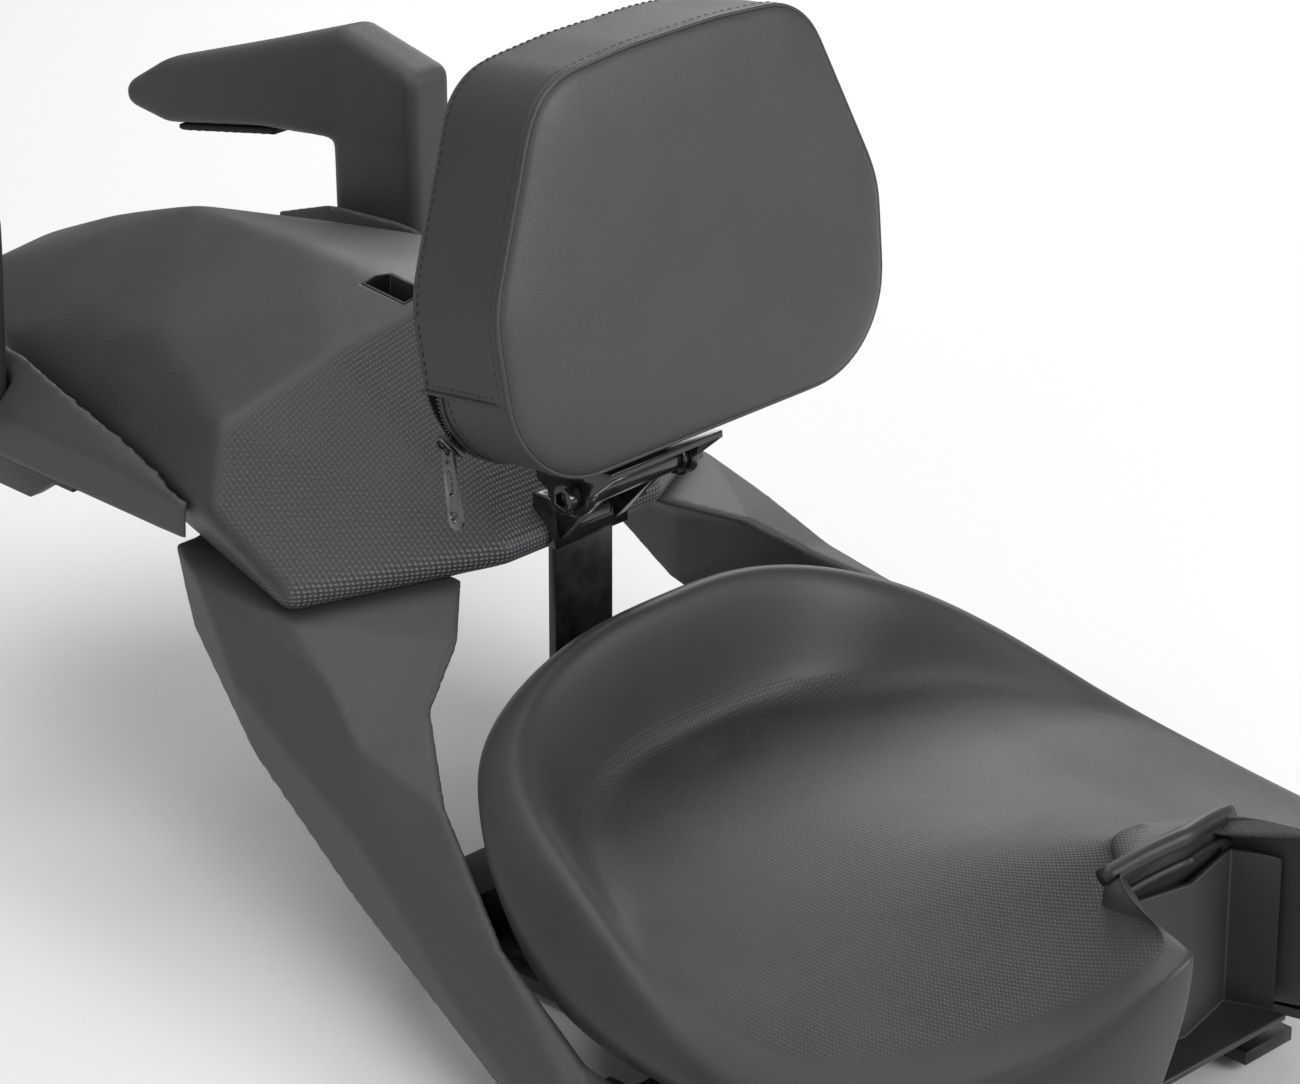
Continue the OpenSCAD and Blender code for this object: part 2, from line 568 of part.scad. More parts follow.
// outline of the pad, g smaller all round; 149 and 227 are the sizes the corner circles were set for
module pad_outline(g) {
    sx = pad_w / 298;
    sz = pad_h / 227;
    hull() for (s = [-1, 1], c = [[87, 98, 60], [79, 132, 70], [72, 218, 44], [30, 165, 100]])
        translate([s * c[0] * sx, pad_low + (c[1] - pad_low) * sz]) scale([sx, sz]) circle(r = c[2] - g, $fn = 60);
}
board_y = -14;
module pad_front() {
    color([0.17, 0.17, 0.18]) pad_frame() hull() {
        lay_outline(-pad_t, 1) pad_outline(0.5);
        lay_outline(-pad_t - pad_crown * 0.6, 1) pad_outline(14);
        lay_outline(-pad_t - pad_crown, 1) pad_outline(38);
    }
}
module pad_band() {
    color([0.15, 0.15, 0.16]) pad_frame() difference() {
        lay_outline(-pad_t + 1 + fit, pad_t - 1 - 3 - 2 * fit) pad_outline(0);
        lay_outline(-pad_t, pad_t + 2) pad_outline(vinyl_t);
        bracket_window();
    }
}
// opening in the underside of the cover where the bracket's tongue goes in
module bracket_window() { translate([-tongue_w / 2 - 2, board_y, 0]) cube([tongue_w + 4, 12, 60]); }
module pad_back() {
    color([0.15, 0.15, 0.16]) pad_frame() difference() {
        lay_outline(-3, 3) pad_outline(0);
        translate([-tongue_w / 2 - 2, -4, 0]) cube([tongue_w + 4, 5, 10]);
    }
}
module pad_foam() {
    color("khaki") pad_frame()
        lay_outline(-pad_t + 1 + gap, pad_t - 1 + board_y - 2 * gap) pad_outline(vinyl_t + gap);
}
module pad_board() {
    color("burlywood") pad_frame() difference() {
        lay_outline(board_y, 8) pad_outline(9);
        board_screw_places() along_y(6 + 2 * tapped, 20);
    }
}
tongue_w = 64;
tongue_t = 3;
tongue_y = board_y + 8;                  // the tongue lies on the back of the board
module board_screw_places() {
    for (x = [-20, 20], z = [60, 104]) translate([x, board_y - 1, z]) children();
}
module board_screws() {
    color("gray") pad_frame() for (x = [-20, 20], z = [60, 104]) translate([x, board_y + 0.5, z]) {
        along_y(6, 7.5 + tongue_t - 0.5);
    }
}
ear_in = tube_l / 2 + 0.3 + 4 + 0.1;      // inner face of the bracket's ears
ear_t = 6;
plate_z = 14;
module pad_bracket() {
    color([0.05, 0.05, 0.05]) pad_frame() difference() {
        union() {
            for (s = [0, 1]) mirror([s, 0, 0]) translate([ear_in, 0, 0]) rotate([90, 0, 90]) linear_extrude(ear_t)
                union() {
                    circle(d = tube_d + 8);
                    polygon([[-13, 0], [-34, plate_z], [-34, plate_z + 4], [28, plate_z + 4], [28, plate_z - 8], [10, -8]]);
                }
            box_at([-ear_in - 0.5, -34, plate_z], [ear_in + 0.5, tongue_y + tongue_t, plate_z + 4]);
            box_at([-tongue_w / 2, tongue_y, plate_z], [tongue_w / 2, tongue_y + tongue_t, 124]);
        }
        translate([-100, 0, 0]) along_x(hinge_bolt_d + 2 * fit, 200);
        board_screw_places() along_y(6 + 2 * tapped, 20);
    }
}
module hinge_bolt() {
    color("silver") pad_frame() difference() {
        union() {
            translate([-ear_in - ear_t - 0.1, 0, 0]) along_x(hinge_bolt_d, 2 * (ear_in + ear_t) + 9);
            translate([-ear_in - ear_t - 9.1, 0, 0]) along_x(17, 9);
        }
        translate([-ear_in - ear_t - 10, 0, 0]) rotate([0, 90, 0]) cylinder(d = 9, h = 6, $fn = 6);
    }
}
module hinge_nut() {
    color("silver") pad_frame() translate([ear_in + ear_t + 0.1, 0, 0]) rotate([0, 90, 0]) difference() {
        cylinder(d = 19, h = 8, $fn = 6);
        translate([0, 0, -1]) cylinder(d = hinge_bolt_d + 2 * tapped, h = 10);
    }
}
module hinge_collars() {
    color("black") pad_frame() both_sides() translate([tube_l / 2 + 0.3, 0, 0]) rotate([0, 90, 0]) difference() {
        cylinder(d = tube_d + 4, h = 4);
        translate([0, 0, -1]) cylinder(d = hinge_bolt_d + 2 * fit, h = 6);
    }
}

// ---- zip round the lower back edge of the pad
zip_y = -9;
corner_r = 60;                           // radius of the lower corners
slider_a = 38;                           // where the slider stands, in degrees below level
module zip_chain() {
    color([0.1, 0.1, 0.1]) pad_frame() difference() {
        lay_outline(zip_y - 3, 6) pad_outline(-1.6);
        lay_outline(zip_y - 4, 8) pad_outline(-0.1);
        translate([-200, zip_y - 10, 100]) cube([400, 20, 300]);
        translate([-tongue_w / 2 - 2, -40, 0]) cube([tongue_w + 4, 60, 56]);
    }
}
module at_slider() {
    sx = pad_w / 298;
    sz = pad_h / 227;
    pad_frame() translate([-87 * sx, zip_y, pad_low + 60 * sz]) rotate([0, -slider_a, 0])
        translate([-(corner_r * sx), 0, 0]) children();
}
module zip_slider() {
    color([0.3, 0.3, 0.31]) at_slider() difference() {
        union() {
            translate([-5.2, -5, -8]) cube([3, 10, 16]);
            translate([-8.4, -1.6, -3]) cube([3.4, 3.2, 6]);
        }
        translate([-6.9, -3, 0]) along_y(1.6, 6);
    }
}
module zip_pull() {
    color([0.3, 0.3, 0.31]) at_slider() translate([-6.9, 0, 0]) rotate([0, slider_a, 0]) {
        translate([0, -2.9, 0]) along_y(1.5, 5.8);
        translate([-0.7, 0, 0]) rotate([90, 0, 90]) linear_extrude(1.4) difference() {
            hull() { translate([0, -40]) circle(6); translate([-4.6, -3]) square([9.2, 4]); }
            hull() { translate([0, -13]) circle(1.8); translate([0, -24]) circle(2.2); }
            translate([0, -38]) circle(3.3);
            translate([-2, -8]) square([4, 10]);
        }
    }
}

base_rail_left();
base_rail_right();
rear_crossmember();
mid_crossmember();
leg_left();
leg_right();
leg_bolts();
tail_bridge();
bridge_bolts();
tail_rail_left();
tail_rail_right();
tail_crossbar();
tail_brackets();
grab_handle_left();
grab_handle_right();
grip_insert_left();
grip_insert_right();
handle_bolts();
rider_pan();
rider_spacers();
rider_bolts();
rider_foam();
rider_cover();
nose_trim();
passenger_pan();
passenger_bumpers();
passenger_screws();
passenger_foam();
passenger_cover();
slot_bezel();
upright_bar();
bar_bolts();
slide_channel();
slide_liner();
clamp_knob();
pad_bracket();
hinge_bolt();
hinge_nut();
hinge_collars();
pad_board();
board_screws();
pad_foam();
pad_front();
pad_band();
pad_back();
zip_chain();
zip_slider();
zip_pull();
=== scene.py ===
import bpy
import bmesh
import json
import math
import random
from mathutils import Vector, Matrix


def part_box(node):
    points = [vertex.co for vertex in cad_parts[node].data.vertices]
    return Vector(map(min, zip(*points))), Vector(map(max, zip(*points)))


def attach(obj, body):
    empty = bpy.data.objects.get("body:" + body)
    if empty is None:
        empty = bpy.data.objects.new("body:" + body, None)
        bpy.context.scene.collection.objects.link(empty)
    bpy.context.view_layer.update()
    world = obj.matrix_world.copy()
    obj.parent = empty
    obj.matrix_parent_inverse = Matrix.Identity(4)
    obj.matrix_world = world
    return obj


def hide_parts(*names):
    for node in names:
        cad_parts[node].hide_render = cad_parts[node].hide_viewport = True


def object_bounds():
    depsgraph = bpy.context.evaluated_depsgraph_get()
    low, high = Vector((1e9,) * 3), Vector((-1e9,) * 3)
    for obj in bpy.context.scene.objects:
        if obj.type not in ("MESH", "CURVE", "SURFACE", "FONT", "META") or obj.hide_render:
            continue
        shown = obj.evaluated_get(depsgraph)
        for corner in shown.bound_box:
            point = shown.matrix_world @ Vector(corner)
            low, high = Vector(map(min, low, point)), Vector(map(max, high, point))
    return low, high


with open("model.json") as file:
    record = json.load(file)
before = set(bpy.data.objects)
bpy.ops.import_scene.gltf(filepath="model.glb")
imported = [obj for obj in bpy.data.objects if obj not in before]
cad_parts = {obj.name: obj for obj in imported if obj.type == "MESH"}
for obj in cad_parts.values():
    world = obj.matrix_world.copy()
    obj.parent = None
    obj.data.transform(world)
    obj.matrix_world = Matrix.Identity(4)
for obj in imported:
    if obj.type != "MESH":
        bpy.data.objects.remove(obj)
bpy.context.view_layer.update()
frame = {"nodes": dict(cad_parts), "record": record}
random.seed(11)
record = frame["record"]
joints = {j["name"]: j for j in record["behaviour"]["joints"]}
hingeAxis = Vector(joints["backrest_tilt"]["pos_m"])
padRear = Vector(joints["zip_slide"]["axis"]).normalized()  # out of the back of the pad
padAcross = Vector((1, 0, 0))
padUp = padAcross.cross(padRear).normalized()
print("frame loaded")


# ---------- small helpers

def selectOnly(obj):
    bpy.ops.object.select_all(action="DESELECT")
    obj.select_set(True)
    bpy.context.view_layer.objects.active = obj


def newPiece(name, bm):
    mesh = bpy.data.meshes.new(name)
    bm.to_mesh(mesh)
    bm.free()
    obj = bpy.data.objects.new(name, mesh)
    bpy.context.scene.collection.objects.link(obj)
    return obj


def copyNode(node, name, weld=0.00002):
    bm = bmesh.new()
    bm.from_mesh(frame["nodes"][node].data)
    bmesh.ops.remove_doubles(bm, verts=bm.verts, dist=weld)
    bmesh.ops.recalc_face_normals(bm, faces=bm.faces)
    return newPiece(name, bm)


def addModifier(obj, kind, **settings):
    mod = obj.modifiers.new(kind.lower(), kind)
    for key, value in settings.items():
        setattr(mod, key, value)
    selectOnly(obj)
    bpy.ops.object.modifier_apply(modifier=mod.name)


def shade(obj, angle=None):
    selectOnly(obj)
    if angle is None:
        bpy.ops.object.shade_smooth()
    else:
        bpy.ops.object.shade_smooth_by_angle(angle=math.radians(angle))


def settle(obj, body, slotName, material, *nodes):
    obj.data.materials.clear()
    obj.data.materials.append(material)
    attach(obj, body)
    if nodes:
        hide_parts(*nodes)
    return obj


def tubeAlong(name, points, radius, sides=8, closed=False):
    bm = bmesh.new()
    rings = []
    count = len(points)
    for i, point in enumerate(points):
        ahead = points[(i + 1) % count] if closed or i < count - 1 else point
        behind = points[i - 1] if closed or i > 0 else point
        along = (ahead - behind).normalized()
        side = along.cross(Vector((0.123, 0.31, 0.942))).normalized()
        lift = side.cross(along)
        ring = []
        for k in range(sides):
            turn = 2 * math.pi * k / sides
            ring.append(bm.verts.new(point + radius * (math.cos(turn) * side + math.sin(turn) * lift)))
        rings.append(ring)
    for i in range(count if closed else count - 1):
        a, b = rings[i], rings[(i + 1) % count]
        for k in range(sides):
            bm.faces.new((a[k], a[(k + 1) % sides], b[(k + 1) % sides], b[k]))
    if not closed:
        bm.faces.new(rings[0])
        bm.faces.new(rings[-1])
    bmesh.ops.recalc_face_normals(bm, faces=bm.faces)
    return newPiece(name, bm)


# ---------- shared shader effects

def startGroup(name, inputs, outputs):
    tree = bpy.data.node_groups.new(name, "ShaderNodeTree")
    for label, kind, default in inputs:
        socket = tree.interface.new_socket(label, in_out="INPUT", socket_type=kind)
        if default is not None:
            socket.default_value = default
    for label, kind in outputs:
        tree.interface.new_socket(label, in_out="OUTPUT", socket_type=kind)
    return tree, tree.nodes.new("NodeGroupInput"), tree.nodes.new("NodeGroupOutput")


def mathNode(tree, operation, a, b=None, clamp=False):
    node = tree.nodes.new("ShaderNodeMath")
    node.operation = operation
    node.use_clamp = clamp
    for index, value in enumerate((a, b)):
        if value is None:
            continue
        if isinstance(value, (int, float)):
            node.inputs[index].default_value = value
        else:
            tree.links.new(value, node.inputs[index])
    return node.outputs[0]


def ramp(tree, value, low, high, outLow=0.0, outHigh=1.0):
    node = tree.nodes.new("ShaderNodeMapRange")
    for index, number in ((1, low), (2, high), (3, outLow), (4, outHigh)):
        node.inputs[index].default_value = number
    tree.links.new(value, node.inputs[0])
    return node.outputs[0]


def dotWeaveGroup():
    tree, enter, leave = startGroup("dotWeave", [("Vector", "NodeSocketVector", None),
        ("Pitch", "NodeSocketFloat", 0.0026)], [("Height", "NodeSocketFloat")])
    split = tree.nodes.new("ShaderNodeSeparateXYZ")
    tree.links.new(enter.outputs["Vector"], split.inputs[0])
    geometry = tree.nodes.new("ShaderNodeNewGeometry")
    normal = tree.nodes.new("ShaderNodeSeparateXYZ")
    tree.links.new(geometry.outputs["Normal"], normal.inputs[0])

    def plane(first, second):
        waves = []
        for a, sign in ((first, 1), (second, -1)):
            mixed = mathNode(tree, "ADD", first, mathNode(tree, "MULTIPLY", second, sign))
            scaled = mathNode(tree, "DIVIDE", mathNode(tree, "MULTIPLY", mixed, 2 * math.pi), enter.outputs["Pitch"])
            waves.append(mathNode(tree, "SINE", scaled))
        return ramp(tree, mathNode(tree, "MULTIPLY", waves[0], waves[1]), 0.05, 0.6)

    x, y, z = split.outputs
    flat, side, front = plane(x, y), plane(y, z), plane(x, z)
    weights = [mathNode(tree, "POWER", mathNode(tree, "ABSOLUTE", n), 4.0) for n in normal.outputs]
    total = mathNode(tree, "ADD", mathNode(tree, "ADD", weights[0], weights[1]), weights[2])
    parts = [mathNode(tree, "MULTIPLY", w, p) for w, p in zip(weights, (side, front, flat))]
    joined = mathNode(tree, "ADD", mathNode(tree, "ADD", parts[0], parts[1]), parts[2])
    tree.links.new(mathNode(tree, "DIVIDE", joined, total), leave.inputs["Height"])
    return tree


def hideGrainGroup():
    tree, enter, leave = startGroup("hideGrain", [("Vector", "NodeSocketVector", None),
        ("Scale", "NodeSocketFloat", 900.0)], [("Height", "NodeSocketFloat"), ("Tone", "NodeSocketFloat")])
    warp = tree.nodes.new("ShaderNodeTexNoise")
    warp.inputs["Scale"].default_value = 60
    tree.links.new(enter.outputs["Vector"], warp.inputs["Vector"])
    bend = tree.nodes.new("ShaderNodeVectorMath")
    bend.operation = "MULTIPLY_ADD"
    bend.inputs[1].default_value = (0.002, 0.002, 0.002)
    tree.links.new(warp.outputs["Color"], bend.inputs[0])
    tree.links.new(enter.outputs["Vector"], bend.inputs[2])
    cells = tree.nodes.new("ShaderNodeTexVoronoi")
    cells.feature = "DISTANCE_TO_EDGE"
    tree.links.new(bend.outputs[0], cells.inputs["Vector"])
    tree.links.new(enter.outputs["Scale"], cells.inputs["Scale"])
    fine = tree.nodes.new("ShaderNodeTexNoise")
    fine.inputs["Detail"].default_value = 3
    tree.links.new(enter.outputs["Vector"], fine.inputs["Vector"])
    tree.links.new(mathNode(tree, "MULTIPLY", enter.outputs["Scale"], 2.2), fine.inputs["Scale"])
    creased = ramp(tree, cells.outputs["Distance"], 0.0, 0.22)
    height = mathNode(tree, "ADD", creased, mathNode(tree, "MULTIPLY", fine.outputs["Fac"], 0.5))
    tree.links.new(height, leave.inputs["Height"])
    broad = tree.nodes.new("ShaderNodeTexNoise")
    broad.inputs["Scale"].default_value = 14
    broad.inputs["Detail"].default_value = 4
    tree.links.new(enter.outputs["Vector"], broad.inputs["Vector"])
    tree.links.new(broad.outputs["Fac"], leave.inputs["Tone"])
    return tree


def castGrainGroup():
    tree, enter, leave = startGroup("castGrain", [("Vector", "NodeSocketVector", None),
        ("Scale", "NodeSocketFloat", 700.0)], [("Height", "NodeSocketFloat"), ("Speck", "NodeSocketFloat")])
    peel = tree.nodes.new("ShaderNodeTexNoise")
    peel.inputs["Detail"].default_value = 2
    tree.links.new(enter.outputs["Vector"], peel.inputs["Vector"])
    tree.links.new(enter.outputs["Scale"], peel.inputs["Scale"])
    grit = tree.nodes.new("ShaderNodeTexVoronoi")
    tree.links.new(enter.outputs["Vector"], grit.inputs["Vector"])
    tree.links.new(mathNode(tree, "MULTIPLY", enter.outputs["Scale"], 1.7), grit.inputs["Scale"])
    tree.links.new(mathNode(tree, "ADD", peel.outputs["Fac"],
        mathNode(tree, "MULTIPLY", grit.outputs["Distance"], 0.5)), leave.inputs["Height"])
    tree.links.new(ramp(tree, grit.outputs["Distance"], 0.0, 0.35, 1.0, 0.0), leave.inputs["Speck"])
    return tree


def edgeWearGroup():
    tree, enter, leave = startGroup("edgeWear", [("Vector", "NodeSocketVector", None),
        ("Amount", "NodeSocketFloat", 0.5)], [("Mask", "NodeSocketFloat")])
    geometry = tree.nodes.new("ShaderNodeNewGeometry")
    patches = tree.nodes.new("ShaderNodeTexNoise")
    patches.inputs["Scale"].default_value = 90
    patches.inputs["Detail"].default_value = 5
    tree.links.new(enter.outputs["Vector"], patches.inputs["Vector"])
    edge = ramp(tree, geometry.outputs["Pointiness"], 0.51, 0.60)
    broken = ramp(tree, patches.outputs["Fac"], 0.42, 0.68)
    tree.links.new(mathNode(tree, "MULTIPLY", mathNode(tree, "MULTIPLY", edge, broken), enter.outputs["Amount"]),
        leave.inputs["Mask"])
    return tree


def dustGroup():
    tree, enter, leave = startGroup("dust", [("Vector", "NodeSocketVector", None),
        ("Amount", "NodeSocketFloat", 0.2)], [("Mask", "NodeSocketFloat")])
    geometry = tree.nodes.new("ShaderNodeNewGeometry")
    split = tree.nodes.new("ShaderNodeSeparateXYZ")
    tree.links.new(geometry.outputs["Normal"], split.inputs[0])
    cloud = tree.nodes.new("ShaderNodeTexNoise")
    cloud.inputs["Scale"].default_value = 25
    cloud.inputs["Detail"].default_value = 6
    tree.links.new(enter.outputs["Vector"], cloud.inputs["Vector"])
    facing = ramp(tree, split.outputs["Z"], 0.2, 1.0)
    mask = mathNode(tree, "MULTIPLY", mathNode(tree, "MULTIPLY", facing, ramp(tree, cloud.outputs["Fac"], 0.35, 0.7)),
        enter.outputs["Amount"])
    tree.links.new(mask, leave.inputs["Mask"])
    return tree


groups = {"dots": dotWeaveGroup(), "grain": hideGrainGroup(), "cast": castGrainGroup(),
    "wear": edgeWearGroup(), "dust": dustGroup()}


def useGroup(tree, key, vector, **values):
    node = tree.nodes.new("ShaderNodeGroup")
    node.node_tree = groups[key]
    tree.links.new(vector, node.inputs["Vector"])
    for label, value in values.items():
        node.inputs[label].default_value = value
    return node


def mixColour(tree, factor, a, b):
    node = tree.nodes.new("ShaderNodeMix")
    node.data_type = "RGBA"
    for index, value in ((6, a), (7, b)):
        if isinstance(value, tuple):
            node.inputs[index].default_value = (*value, 1)
        else:
            tree.links.new(value, node.inputs[index])
    tree.links.new(factor, node.inputs[0])
    return node.outputs[2]


def bumpNode(tree, height, strength, distance, normal=None):
    node = tree.nodes.new("ShaderNodeBump")
    node.inputs["Strength"].default_value = strength
    node.inputs["Distance"].default_value = distance
    tree.links.new(height, node.inputs["Height"])
    if normal is not None:
        tree.links.new(normal, node.inputs["Normal"])
    return node.outputs[0]


def startMaterial(name, rough, metal=0.0, **sockets):
    material = bpy.data.materials.new(name)
    material.use_nodes = True
    tree = material.node_tree
    shader = tree.nodes["Principled BSDF"]
    shader.inputs["Roughness"].default_value = rough
    shader.inputs["Metallic"].default_value = metal
    for label, value in sockets.items():
        shader.inputs[label.replace("_", " ")].default_value = value
    coords = tree.nodes.new("ShaderNodeTexCoord").outputs["Object"]
    return material, tree, shader, coords


def leatherMaterial(name, look):
    material, tree, shader, coords = startMaterial(name, look["rough"], Specular_IOR_Level=look["specular"])
    shader.inputs["Sheen Weight"].default_value = look["sheen"]
    shader.inputs["Sheen Roughness"].default_value = 0.5
    grain = useGroup(tree, "grain", coords, Scale=look["grainScale"])
    dust = useGroup(tree, "dust", coords, Amount=look["dust"])
    tone = ramp(tree, grain.outputs["Tone"], 0.3, 0.7)
    colour = mixColour(tree, tone, look["dark"], look["light"])
    rough = ramp(tree, grain.outputs["Tone"], 0.3, 0.7, look["rough"] - 0.04, look["rough"] + 0.05)
    normal = bumpNode(tree, grain.outputs["Height"], look["grainBump"], 0.0003)
    if look["dots"] > 0:
        dots = useGroup(tree, "dots", coords, Pitch=look["pitch"])
        mask = dots.outputs["Height"]
        attribute = tree.nodes.new("ShaderNodeAttribute")
        attribute.attribute_name = "dotsAndPaintedHighlight"
        where = ramp(tree, attribute.outputs["Fac"], *look["dotsAndPaintedHighlight"])
        mask = mathNode(tree, "MULTIPLY", mask, where)
        normal = bumpNode(tree, mask, look["dots"], 0.0005, normal)
        # dot colour mixed in by the mask; on the passenger seat this is partly a painted highlight on the front facet
        colour = mixColour(tree, mathNode(tree, "MULTIPLY", mask, look["dotAndHighlightTone"]), colour, look["dotAndHighlightColour"])
        rough = mathNode(tree, "ADD", rough, mathNode(tree, "MULTIPLY", mask, 0.06))
    colour = mixColour(tree, dust.outputs["Mask"], colour, (0.16, 0.155, 0.15))
    tree.links.new(colour, shader.inputs["Base Color"])
    tree.links.new(rough, shader.inputs["Roughness"])
    tree.links.new(normal, shader.inputs["Normal"])
    return material


def coatedMaterial(name, look):
    material, tree, shader, coords = startMaterial(name, look["rough"], look.get("metal", 0.0),
        Specular_IOR_Level=look.get("specular", 0.5))
    cast = useGroup(tree, "cast", coords, Scale=look["scale"])
    wear = useGroup(tree, "wear", coords, Amount=look["wear"])
    dust = useGroup(tree, "dust", coords, Amount=look.get("dust", 0.1))
    colour = mixColour(tree, mathNode(tree, "MULTIPLY", cast.outputs["Speck"], 0.6), look["dark"], look["light"])
    colour = mixColour(tree, wear.outputs["Mask"], colour, look["worn"])
    colour = mixColour(tree, dust.outputs["Mask"], colour, (0.18, 0.175, 0.17))
    tree.links.new(colour, shader.inputs["Base Color"])
    rough = ramp(tree, cast.outputs["Speck"], 0.0, 1.0, look["rough"] - 0.05, look["rough"] + 0.06)
    tree.links.new(rough, shader.inputs["Roughness"])
    normal = bumpNode(tree, cast.outputs["Height"], look["bump"], 0.0003)
    tree.links.new(normal, shader.inputs["Normal"])
    return material


padLook = {"rough": 0.42, "specular": 0.5, "sheen": 0.0, "grainScale": 900, "grainBump": 0.22, "dust": 0.04,
    "dark": (0.040, 0.040, 0.043), "light": (0.050, 0.050, 0.053), "dots": 0.0}
bandLook = dict(padLook, rough=0.55, dark=(0.030, 0.030, 0.032), light=(0.038, 0.038, 0.041), grainBump=0.28)
seatLook = {"rough": 0.47, "specular": 0.45, "sheen": 0.0, "grainScale": 1100, "grainBump": 0.12, "dust": 0.05,
    "dark": (0.031, 0.031, 0.034), "light": (0.038, 0.038, 0.041), "dots": 0.5, "pitch": 0.0052, "dotsAndPaintedHighlight": (0.86, 0.93),
    "dotAndHighlightColour": (0.060, 0.060, 0.064), "dotAndHighlightTone": 0.35}
# passenger seat: real dot pattern plus a painted highlight, a light dot colour laid on the faces turned to the front
passengerLook = dict(seatLook, dotsAndPaintedHighlight=(0.0, 1.0), dots=1.0, dotAndHighlightColour=(0.20, 0.20, 0.215), dotAndHighlightTone=0.85)
castLook = {"rough": 0.62, "scale": 900, "bump": 0.55, "wear": 0.15, "dark": (0.048, 0.048, 0.050),
    "light": (0.080, 0.080, 0.084), "worn": (0.16, 0.16, 0.165), "dust": 0.05}
steelLook = {"rough": 0.36, "scale": 500, "bump": 0.12, "wear": 0.25, "dark": (0.008, 0.008, 0.009),
    "light": (0.014, 0.014, 0.015), "worn": (0.10, 0.10, 0.10), "dust": 0.03}
glossLook = dict(steelLook, rough=0.2, bump=0.05, specular=0.7)
plasticLook = {"rough": 0.5, "scale": 1400, "bump": 0.25, "wear": 0.1, "dark": (0.010, 0.010, 0.011),
    "light": (0.020, 0.020, 0.021), "worn": (0.05, 0.05, 0.05), "dust": 0.05}
boltLook = dict(steelLook, rough=0.32, metal=0.9, dark=(0.10, 0.10, 0.105), light=(0.16, 0.16, 0.165),
    worn=(0.4, 0.4, 0.4))
zipMetalLook = dict(boltLook, rough=0.3, dark=(0.10, 0.10, 0.10), light=(0.16, 0.16, 0.16), worn=(0.45, 0.45, 0.45))
# painted shade: near-black, dull finish for the shade inside the open zip
paintedShadeLook = dict(plasticLook, rough=0.9, specular=0.1, dark=(0.002, 0.002, 0.002), light=(0.003, 0.003, 0.003),
    wear=0.0, dust=0.0)
rubberLook = dict(plasticLook, rough=0.75, bump=0.15)
foamLook = dict(plasticLook, rough=0.9, dark=(0.45, 0.40, 0.22), light=(0.6, 0.55, 0.32), worn=(0.6, 0.55, 0.35))
boardLook = dict(plasticLook, rough=0.6, dark=(0.30, 0.20, 0.11), light=(0.42, 0.30, 0.17), worn=(0.5, 0.4, 0.25))
threadLook = dict(plasticLook, rough=0.6, dark=(0.045, 0.045, 0.047), light=(0.07, 0.07, 0.073),
    worn=(0.09, 0.09, 0.09))

materials = {
    "padFront": leatherMaterial("padFront", padLook),
    "padBand": leatherMaterial("padBand", bandLook),
    "seatVinyl": leatherMaterial("seatVinyl", seatLook),
    "passengerVinyl": leatherMaterial("passengerVinyl", passengerLook),
    "cast": coatedMaterial("castAlloy", castLook),
    "blackSteel": coatedMaterial("blackSteel", steelLook),
    "gloss": coatedMaterial("glossBlack", glossLook),
    "plastic": coatedMaterial("blackPlastic", plasticLook),
    "bolt": coatedMaterial("boltSteel", boltLook),
    "zip": coatedMaterial("zipMetal", zipMetalLook),
    "rubber": coatedMaterial("rubber", rubberLook),
    "foam": coatedMaterial("foam", foamLook),
    "board": coatedMaterial("board", boardLook),
    "thread": coatedMaterial("thread", threadLook),
    # painted shade for the open zip
    "dark": coatedMaterial("paintedShadeGap", paintedShadeLook)}
print("materials made")


# ---------- hard parts: copies of the CAD solids with their edges rounded

def hardPiece(node, body, slotName, materialKey, width, segments=2):
    obj = copyNode(node, node + "_finished")
    bm = bmesh.new()
    bm.from_mesh(obj.data)
    bmesh.ops.dissolve_limit(bm, angle_limit=math.radians(1.5), verts=bm.verts, edges=bm.edges)
    bm.to_mesh(obj.data)
    bm.free()
    addModifier(obj, "BEVEL", width=width, segments=segments, limit_method="ANGLE", angle_limit=math.radians(32),
        use_clamp_overlap=True)
    shade(obj, 35)
    return settle(obj, body, slotName, materials[materialKey], node)


def castPiece(node, body, voxel, smooth, materialKey="cast", slotName="cast_alloy", name=None):
    obj = copyNode(node, name or node + "_finished")
    addModifier(obj, "REMESH", mode="VOXEL", voxel_size=voxel)
    addModifier(obj, "SMOOTH", factor=0.5, iterations=smooth)
    shade(obj)
    return settle(obj, body, slotName, materials[materialKey], node)


frameParts = {"body": "seat_frame", "width": 0.0015}
for node in ("base_rail_left", "base_rail_right", "rear_crossmember", "mid_crossmember", "tail_bridge",
        "tail_crossbar"):
    hardPiece(node, frameParts["body"], "frame_steel", "blackSteel", frameParts["width"])
for node in ("leg_bolts", "bridge_bolts", "handle_bolts", "rider_bolts", "passenger_screws", "bar_bolts"):
    hardPiece(node, frameParts["body"], "fastener", "bolt", 0.0006)
for node in ("tail_brackets", "rider_pan", "nose_trim", "passenger_pan", "slot_bezel"):
    hardPiece(node, frameParts["body"], "black_plastic", "plastic", 0.0012)
for node in ("rider_spacers", "passenger_bumpers"):
    hardPiece(node, frameParts["body"], "rubber", "rubber", 0.001)
hardPiece("upright_bar", "seat_frame", "black_steel", "blackSteel", 0.001)
hardPiece("slide_channel", "height_slide", "black_steel", "gloss", 0.0009)
hardPiece("slide_liner", "height_slide", "black_plastic", "plastic", 0.0003)
hardPiece("clamp_knob", "clamp_knob", "black_plastic", "plastic", 0.0008)
hardPiece("pad_bracket", "backrest", "black_steel", "gloss", 0.0008)
hardPiece("hinge_bolt", "backrest", "hinge_steel", "gloss", 0.0007)
hardPiece("hinge_nut", "backrest", "hinge_steel", "gloss", 0.0006)
hardPiece("hinge_collars", "backrest", "black_steel", "gloss", 0.0006)
